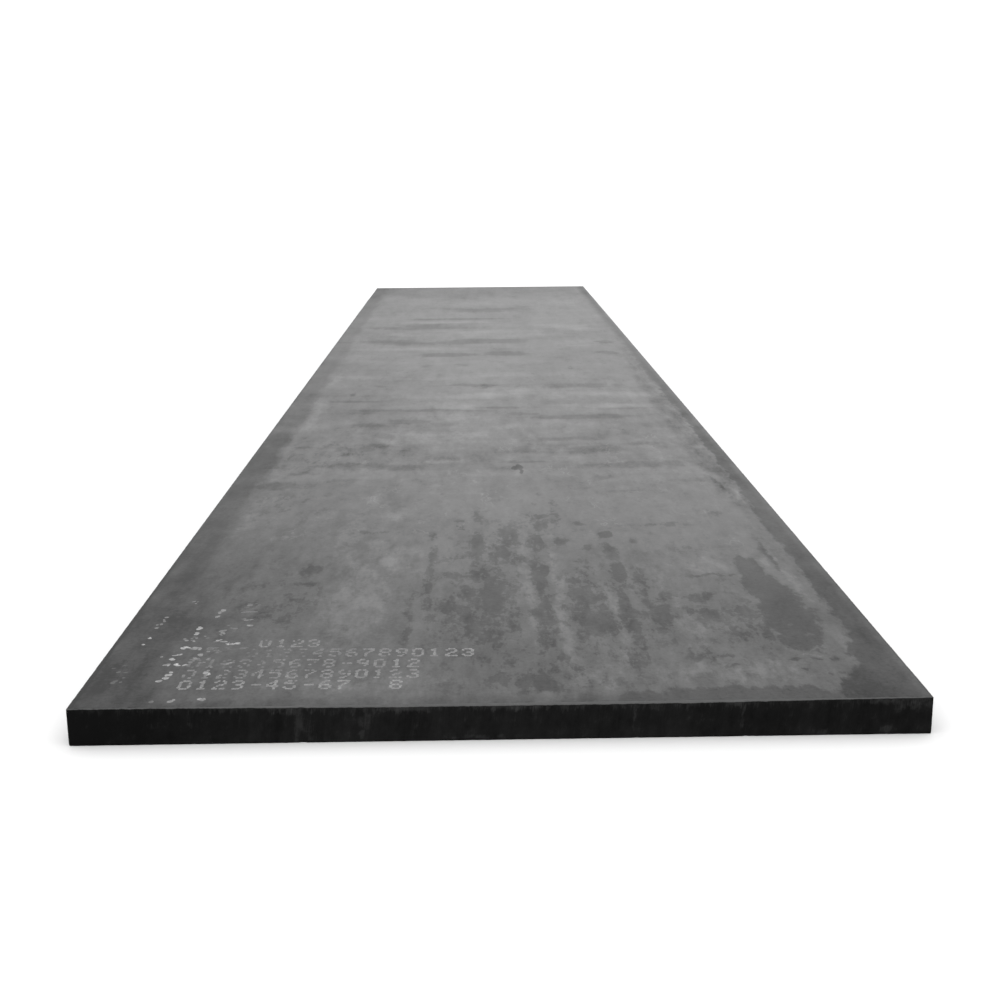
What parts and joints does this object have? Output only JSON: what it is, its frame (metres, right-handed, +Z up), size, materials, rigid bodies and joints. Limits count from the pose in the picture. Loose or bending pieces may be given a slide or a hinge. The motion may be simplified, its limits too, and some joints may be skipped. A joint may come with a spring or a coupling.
{
  "type": "steel plate",
  "caption": "Thick rectangular hot-rolled steel plate with gas-cut edges, raw stock for cutting, welding and machining.",
  "frame": {"origin": "middle of the underside, on the surface that the plate lies on", "axes": "+Y along the length, away from the painted and notched end; +X across the width, to the right seen from that end; +Z up through the thickness"},
  "size_m": [2.2, 11.87, 0.1],
  "materials": {
    "mill_scale_steel": "hot-rolled mill scale, dull neutral grey with darker borders, patches and streaks; near-black gas-cut edges",
    "marking_paint": "worn pale grey paint dots, printed by a marking machine in rows near the front left corner of the top face"
  },
  "bodies": {
    "root": {"steel_plate": "mill_scale_steel"}
  },
  "joints": []
}
